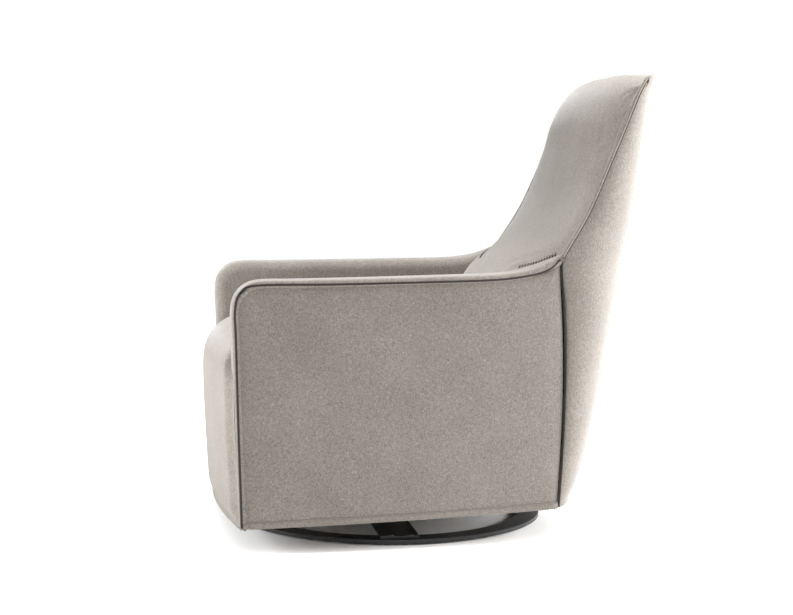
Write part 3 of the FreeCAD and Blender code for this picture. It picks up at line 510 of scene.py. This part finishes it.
def arm_section(inner):
    """Across the arm from its outer seam to its inner face: (distance in, depth below the crest)."""
    outer = 0.0085
    section = [(0.010, 0.0185), (0.0045, 0.0165), (0.0012, 0.0135)]
    for a in np.linspace(0.0, 0.5 * math.pi, 9):
        section.append((outer * (1 - math.cos(a)), 0.0005 + outer * (1 - math.sin(a))))
    for share in np.linspace(0.12, 0.88, 9):
        d = outer + share * (ARM_WIDTH - outer - inner)
        section.append((d, 0.0005 - 0.0018 * math.sin(math.pi * share)))
    for a in np.linspace(0.0, 0.5 * math.pi, 10):
        section.append((ARM_WIDTH - inner * (1 - math.sin(a)), 0.0005 + inner * (1 - math.cos(a))))
    return section


def arm_cover(name):
    """Front band, top and inner face of one arm, swept along the arm's crest."""
    path = arm_path(170)
    tangent = np.gradient(path, axis=0)
    tangent /= np.linalg.norm(tangent, axis=1, keepdims=True)
    normal = np.column_stack([tangent[:, 1], -tangent[:, 0]])
    leg_steps = 9
    foot_y, foot_z = CORNER_Y + 0.105, SEAT_TOP - 0.06
    rows = []
    for (y, z), (ny, nz) in zip(path, normal):
        below_seat = 1 - float(smooth_step(z, SEAT_TOP - 0.135, SEAT_TOP - 0.075))
        row = []
        for d, h in arm_section(0.022 - 0.014 * below_seat):
            h += 0.012 * below_seat * float(smooth_step(d, 0.011, 0.024))
            row.append((float(cover_x(max(y, CORNER_Y), z)) - d, y - h * ny, z - h * nz))
        start = np.array(row[-1])
        foot = np.array([start[0], max(start[1], foot_y), min(start[2], foot_z)])
        row += [tuple(start + (foot - start) * k / leg_steps) for k in range(1, leg_steps + 1)]
        rows.append(row)
    return slab(name, np.array(rows), ARM_THICKNESS, 1, 0.2)


# ---- seat ----------------------------------------------------------------------------------------
FACE_Y = FRONT_Y + 0.006              # foremost point of the finished front


def seat_half(y):
    return side_x(np.maximum(y, CORNER_Y)) - ARM_WIDTH


def seat_profile(v):
    """Middle of the seat from behind the back cushion to the nose and down the front, as (y, z)."""
    return through([(0.120, SEAT_TOP - 0.030), (0.04, SEAT_TOP - 0.008), (-0.12, SEAT_TOP),
                    (-0.26, SEAT_TOP - 0.006), (FACE_Y + 0.100, SEAT_TOP - 0.018),
                    (FACE_Y + 0.048, SEAT_TOP - 0.034), (FACE_Y + 0.019, SEAT_TOP - 0.056),
                    (FACE_Y + 0.002, SEAT_TOP - 0.092), (FACE_Y + 0.001, 0.28), (FACE_Y + 0.006, 0.17),
                    (FACE_Y + 0.013, FLOOR_EDGE + 0.002)], v)


def seat_cover():
    """Tight seat that rolls over its nose and widens down the front, as one cover."""
    profile = seat_profile(clustered(130, 0.25))
    u = 2 * clustered(110) - 1
    y, z = profile[:, 0][:, None], profile[:, 1][:, None]
    ahead = smooth_step(-y, 0.20, 0.44)
    below_seat = 1 - smooth_step(z, SEAT_TOP - 0.105, SEAT_TOP - 0.040)
    half = seat_half(y) + 0.001 + below_seat * (ARM_WIDTH - 0.0105)
    x = half * u[None, :]
    bow = FRONT_BOW * (x / HALF_FRONT) ** 2
    top = smooth_step(z, SEAT_TOP - 0.10, SEAT_TOP - 0.02)
    grid = np.dstack([x, y + ahead * bow + 0 * x, z - top * 0.008 * np.abs(u[None, :]) ** 3])
    grid = roll_edges(grid, 0.0012 + 0.0038 * top, ("left", "right"), 1)
    grid = roll_edges(grid, 0.004, ("high",), 1)
    piece = slab("seat_and_front_cover", grid, CUSHION_THICKNESS, 1, THIN_BORDER)
    swell(piece, grid, 0.005)
    return piece


# ---- back ----------------------------------------------------------------------------------------
def back_edge_points():
    """Edge of the inside back: up the arm's inner face, over its top to the apex, and up the piping."""
    return [(0.252, 0.116, 0.400), (0.254, 0.130, 0.490), (0.264, 0.162, 0.5475),
            (APEX.x - 0.002, APEX.y - 0.001, APEX.z - 0.002),
            (0.3045, 0.286, 0.672), (0.2985, 0.333, 0.778), (0.2955, 0.359, 0.838), (0.2925, 0.378, 0.884),
            (0.2885, 0.394, 0.920), (0.2800, 0.412, 0.947)]


def back_centre_points():
    """Middle line of the inside back, from behind the seat over lumbar and head rolls to the rear top."""
    return [(0.092, 0.400), (0.110, 0.490), (0.168, 0.562), (0.237, 0.624), (0.286, 0.700), (0.311, 0.797),
            (0.323, 0.870), (0.355, 0.930), (0.400, 0.962), (REAR_Y - 0.007, TOP_Z - 0.004)]


def edge_share(away, round_share):
    """How far a section has dropped, for a distance of 0 in the middle to 1 at the edge."""
    arch = away ** 2
    rolled = 1 - np.sqrt(np.maximum(1 - away ** 4, 0.0))
    return (1 - round_share) * arch + round_share * rolled


def inside_back():
    """Crowned inside back with its head roll; every level runs from edge to edge."""
    v = clustered(130, 0.5)
    centre = through(back_centre_points(), v)
    edge = through(back_edge_points(), v)
    u = 2 * clustered(120) - 1
    away = np.abs(u)[None, :]
    turn = edge_share(away, 0.50)
    x = edge[:, 0][:, None] * np.sign(u)[None, :] * np.power(away, 0.97)
    y = centre[:, 0][:, None] + (edge[:, 1] - centre[:, 0])[:, None] * turn
    z = centre[:, 1][:, None] + (edge[:, 2] - centre[:, 1])[:, None] * turn
    grid = np.dstack([x, y, z])
    grid = roll_edges(grid, 0.0025, ("left", "right", "high"), 1)
    piece = slab("inside_back_cover", grid, CUSHION_THICKNESS, 1, THIN_BORDER)
    swell(piece, grid, 0.004)
    return piece


def rear_edge_points():
    """Front edge of the outside back: up the side seam to the apex, then up the piping."""
    low = [(HALF_REAR - 0.012, SEAM_Y - 0.004, edge_z(SEAM_Y)), (HALF_REAR - 0.003, SEAM_Y + 0.001, 0.12),
           (HALF_REAR, SEAM_Y + 0.008, 0.22), (HALF_REAR, SEAM_Y + 0.011, 0.35),
           (HALF_REAR - 0.003, SEAM_Y + 0.007, 0.48)]
    return low + [(APEX.x, APEX.y, APEX.z)] + back_edge_points()[4:]


def rear_centre_points():
    """Middle line of the outside back, bottom to top."""
    return [(0.296, edge_z(SEAM_Y)), (0.326, 0.12), (0.353, 0.22), (0.381, 0.35), (0.403, 0.48),
            (0.421, APEX_HEIGHT), (0.437, 0.672), (0.454, 0.778), (0.463, 0.838), (0.468, 0.884),
            (0.471, 0.920), (REAR_Y - 0.006, TOP_Z - 0.008)]


def rear_power(v):
    """How square each level of the outside back is: 2 is an ellipse, more is squarer."""
    levels = [1.8, 1.9, 2.0, 2.1, 2.25, 2.3, 2.3, 2.15, 2.0, 1.9, 1.85, 1.8]
    return through([(level, 0) for level in levels], v)[:, 0][:, None]


def rear_surface(v, a):
    """Points of the outside back at heights v (0 to 1), round from the left edge (a = 0) to the right."""
    edge = through(rear_edge_points(), v)
    rear = through(rear_centre_points(), v)
    power = rear_power(v)
    across = np.sign(np.cos(a)) * np.power(np.abs(np.cos(a))[None, :], 2 / power)
    depth = np.power(np.maximum(np.sin(a), 0.0)[None, :], 2 / power)
    x = edge[:, 0][:, None] * across
    y = edge[:, 1][:, None] + (rear[:, 0] - edge[:, 1])[:, None] * depth
    z = edge[:, 2][:, None] + (rear[:, 1] - edge[:, 2])[:, None] * depth
    return np.dstack([x, y, z])


def outside_back():
    """One cover that wraps from the left seam round the rear corners to the right seam."""
    grid = rear_surface(clustered(130, 0.5), math.pi * clustered(130, 0.25))
    grid = roll_edges(grid, 0.004, ("left", "right", "low"), 1)
    grid = roll_edges(grid, 0.003, ("high",), 1)
    return slab("outside_back_cover", grid, PANEL_THICKNESS, 1)


# ---- seams, piping, welt and gathers -------------------------------------------------------------
def both_sides(name, points, radius, material):
    """A cord on the left and its mirror image on the right."""
    left = tube(name + "_left", points, radius)
    right = mirrored(left, name + "_right")
    for piece in (left, right):
        finish_cover(piece, material, [])


def even(points, count, passes=0):
    """The same line with evenly spaced points, its corners eased by a few passes of averaging."""
    p = np.asarray(points, float)
    steps = np.linalg.norm(np.diff(p, axis=0), axis=1)
    walked = np.concatenate([[0], np.cumsum(steps)]) / steps.sum()
    wanted = np.linspace(0, 1, count)
    p = np.column_stack([np.interp(wanted, walked, p[:, k]) for k in range(3)])
    for _ in range(passes):
        p[1:-1] = 0.25 * p[:-2] + 0.5 * p[1:-1] + 0.25 * p[2:]
    return p


def panel_seam_shade_cord():
    """A near-black cord of painted shade in the seam that frames each side panel: up its front edge and
    back along its top to the apex.
    """
    _, top, front, _, _, _ = panel_edges(90, 90)
    outline = np.vstack([front[:-1], top])
    step = np.gradient(outline, axis=0)
    step /= np.linalg.norm(step, axis=1, keepdims=True)
    outward = np.column_stack([-step[:, 1], step[:, 0]])
    y, z = (outline + 0.0012 * outward).T
    both_sides("panel_seam_shade_cord", np.column_stack([cover_x(y, z) - 0.0016, y, z]), 0.0026, SEAM_PAINTED_SHADE)


def rear_seam_shade_cord():
    """A near-black cord of painted shade in the upright seam where the side panel meets the outside back.
    """
    _, _, _, rear, _, _ = panel_edges(90, 90)
    y = rear[:, 0] + 0.0020
    line = np.column_stack([cover_x(y, rear[:, 1]) - 0.0020, y, rear[:, 1]])
    both_sides("rear_seam_shade_cord", line, 0.0023, SEAM_PAINTED_SHADE)


def back_arm_crease_shade_cord():
    """A near-black cord of painted shade in the crease where the inside back meets each arm's inner face.
    """
    line = through(back_edge_points()[:4], np.linspace(0.02, 0.70, 50))
    both_sides("back_arm_crease_shade_cord", line + np.array([-0.001, -0.003, 0.002]), 0.0026, SEAM_PAINTED_SHADE)


def back_piping():
    """A fabric cord up both sides of the back and over its top rear edge, with a stitch line behind it."""
    side = through([(APEX.x, APEX.y, APEX.z)] + back_edge_points()[4:], np.linspace(0, 1, 90))
    outward = np.array([1.0, 0.0, 0.0])
    cord = side + 0.0014 * outward
    top = rear_surface(np.array([1.0]), np.linspace(0.04, math.pi - 0.04, 90))[0]
    loop = np.vstack([cord, top[4:-4] + np.array([0, 0.001, 0.001]), (cord * np.array([-1, 1, 1]))[::-1]])
    finish_cover(tube("back_piping", even(loop, 420, 3), 0.0032), FABRIC, [])
    line = even(side + np.array([0.0008, 0.0042, -0.0018]), 200, 2)
    both_sides("piping_stitch_line", line[:-6], 0.0015, THREAD)


def bottom_welt():
    """A padded band along the bottom edge of the sides and round the rear, with a fine seam above it."""
    y = np.linspace(CORNER_Y + 0.018, SEAM_Y - 0.004, 60)
    side = np.column_stack([side_x(y), y, edge_z(y)])
    a = np.linspace(0.10, math.pi - 0.10, 70)
    low = rear_surface(np.array([0.012]), a)[0]
    low[:, 2] = edge_z(SEAM_Y)
    path = np.vstack([side, low, (side * np.array([-1, 1, 1]))[::-1]])
    path[:, 2] += 0.5 * WELT_HEIGHT
    step = np.gradient(path, axis=0)
    step[:, 2] = 0
    step /= np.linalg.norm(step, axis=1, keepdims=True)
    outward = np.column_stack([step[:, 1], -step[:, 0], np.zeros(len(step))])
    up = np.array([0.0, 0.0, 1.0])
    sides = 16
    rows = []
    for centre, away in zip(path, outward):
        middle = centre - 0.0035 * away
        row = []
        for k in range(sides):
            t = 2 * math.pi * k / sides
            across = math.copysign(abs(math.cos(t)) ** 0.6, math.cos(t))
            over = math.copysign(abs(math.sin(t)) ** 0.6, math.sin(t))
            row.append(middle + 0.0048 * across * away + 0.5 * WELT_HEIGHT * over * up)
        rows.append(row)
    verts = np.array(rows).reshape(-1, 3)
    faces = []
    for i in range(len(path) - 1):
        for k in range(sides):
            m = (k + 1) % sides
            faces.append([i * sides + k, i * sides + m, (i + 1) * sides + m, (i + 1) * sides + k])
    faces.append(list(range(sides))[::-1])
    faces.append([(len(path) - 1) * sides + k for k in range(sides)])
    finish_cover(mesh_object("bottom_welt", verts, faces), FABRIC, [])
    seam = path - 0.0012 * outward + (0.5 * WELT_HEIGHT + 0.0006) * up
    finish_cover(tube("welt_seam", seam, 0.0014), SEAM_SOFT, [])


def gathers(name, side, back):
    """A row of short hand stitches where the inside back is drawn down onto the arm's top."""
    count = 14
    half, thick = 0.0044, 0.0011
    line = through([(0.262, 0.158, 0.5560), (0.286, 0.190, 0.5660),
                    (APEX.x - 0.005, APEX.y - 0.008, APEX.z + 0.001)], np.linspace(0.03, 0.97, count))
    line = (line + np.array([0.0, 0.0, 0.005])) * np.array([side, 1, 1])
    # Each stitch lies where a line drawn inward from beside the chair meets the cushion.
    inward = Vector((-side, 0.15, -0.10)).normalized()
    start_gap = 0.08
    run = line[-1] - line[0]
    run /= np.linalg.norm(run)
    verts, faces = [], []
    for place in line:
        found, spot, out, _ = back.ray_cast(Vector(place) - start_gap * inward, inward)
        if not found:
            _, spot, out, _ = back.closest_point_on_mesh(Vector(place))
        spot, out = np.array(spot), np.array(out)
        across = np.cross(out, run)
        across /= np.linalg.norm(across)
        first = len(verts)
        for end in (-half, half):
            for p, q in ((-1, -1), (1, -1), (1, 1), (-1, 1)):
                verts.append(spot + end * across + thick * p * run + thick * (1.0 + q) * out)
        box_faces = [[0, 3, 2, 1], [4, 5, 6, 7], [0, 1, 5, 4], [1, 2, 6, 5], [2, 3, 7, 6], [3, 0, 4, 7]]
        faces += [[first + k for k in face] for face in box_faces]
    piece = mesh_object(name, verts, faces)
    recalculate_outward(piece)
    finish_cover(piece, THREAD, [])


# ---- stage, light and camera ---------------------------------------------------------------------
def stage():
    size = 6.0
    drop = 0.0005
    corners = [(x * size, y * size, -drop) for x, y in ((-1, -1), (1, -1), (1, 1), (-1, 1))]
    floor = mesh_object("floor", corners, [[0, 1, 2, 3]])
    material, _, shader = new_material("pale_floor", 0.85)
    shader.inputs["Base Color"].default_value = (0.985, 0.985, 0.985, 1.0)
    floor.data.materials.append(material)


def area_light(name, place, target, size, power):
    lamp = bpy.data.lights.new(name, "AREA")
    lamp.shape = "DISK"
    lamp.size = size
    lamp.energy = power
    piece = bpy.data.objects.new(name, lamp)
    piece.visible_camera = False
    bpy.context.scene.collection.objects.link(piece)
    piece.location = place
    piece.rotation_euler = (Vector(target) - Vector(place)).to_track_quat("-Z", "Y").to_euler()


def lights():
    """Bright room all round, with the front, the rear and the top lit more than the sides."""
    world = bpy.data.worlds.new("studio")
    bpy.context.scene.world = world
    world.use_nodes = True
    world.node_tree.nodes["Background"].inputs["Color"].default_value = (1.0, 1.0, 1.0, 1.0)
    world.node_tree.nodes["Background"].inputs["Strength"].default_value = 1.0
    area_light("front_low", (0.15, -1.75, 0.60), (0, -0.3, 0.45), 0.9, 34.0)
    area_light("rear_key", (0.35, 3.0, 1.0), (0, 0.3, 0.5), 1.6, 185.0)
    area_light("top_rear", (0.0, 1.1, 3.0), (0, 0.1, 0.6), 1.4, 170.0)
    bpy.context.scene.view_settings.view_transform = "Standard"


def camera():
    """Looks square at the chair's left side, a little from the front and from above."""
    place = Vector((3.5775, -0.6060, 0.7474))
    turn, pitch, roll = math.radians(8.655), math.radians(4.621), math.radians(0.3725)
    ahead = Vector((-math.cos(turn) * math.cos(pitch), math.sin(turn) * math.cos(pitch), -math.sin(pitch)))
    right = ahead.cross(Vector((0, 0, 1))).normalized()
    up = right.cross(ahead)
    level_right = right * math.cos(roll) + up * math.sin(roll)
    level_up = up * math.cos(roll) - right * math.sin(roll)
    data = bpy.data.cameras.new("photo_view")
    data.sensor_width = 36.0
    data.lens = 74.9
    made = bpy.data.objects.new("photo_view", data)
    bpy.context.scene.collection.objects.link(made)
    made.matrix_world = Matrix(((level_right.x, level_up.x, -ahead.x, place.x),
                                (level_right.y, level_up.y, -ahead.y, place.y),
                                (level_right.z, level_up.z, -ahead.z, place.z),
                                (0, 0, 0, 1)))
    bpy.context.scene.camera = made


# ---- assembly ------------------------------------------------------------------------------------
camera()
stage()
lights()
dress_cad_nodes()

left_panel = side_panel("side_panel_cover_left")
right_panel = mirrored(left_panel, "side_panel_cover_right")
finish_cover(left_panel, FABRIC, ["outer_side_left"])
finish_cover(right_panel, FABRIC, ["outer_side_right"])

left_arm = arm_cover("arm_padding_left")
right_arm = mirrored(left_arm, "arm_padding_right")
finish_cover(left_arm, FABRIC, ["arm_cover_left"])
finish_cover(right_arm, FABRIC, ["arm_cover_right"])

finish_cover(seat_cover(), FABRIC, ["seat_cushion", "front_panel"])
back_cushion = finish_cover(inside_back(), FABRIC, ["inside_back"])
finish_cover(outside_back(), FABRIC, ["outside_back"])

panel_seam_shade_cord()
rear_seam_shade_cord()
back_arm_crease_shade_cord()
back_piping()
bottom_welt()
gathers("gather_stitches_left", 1, back_cushion)
gathers("gather_stitches_right", -1, back_cushion)
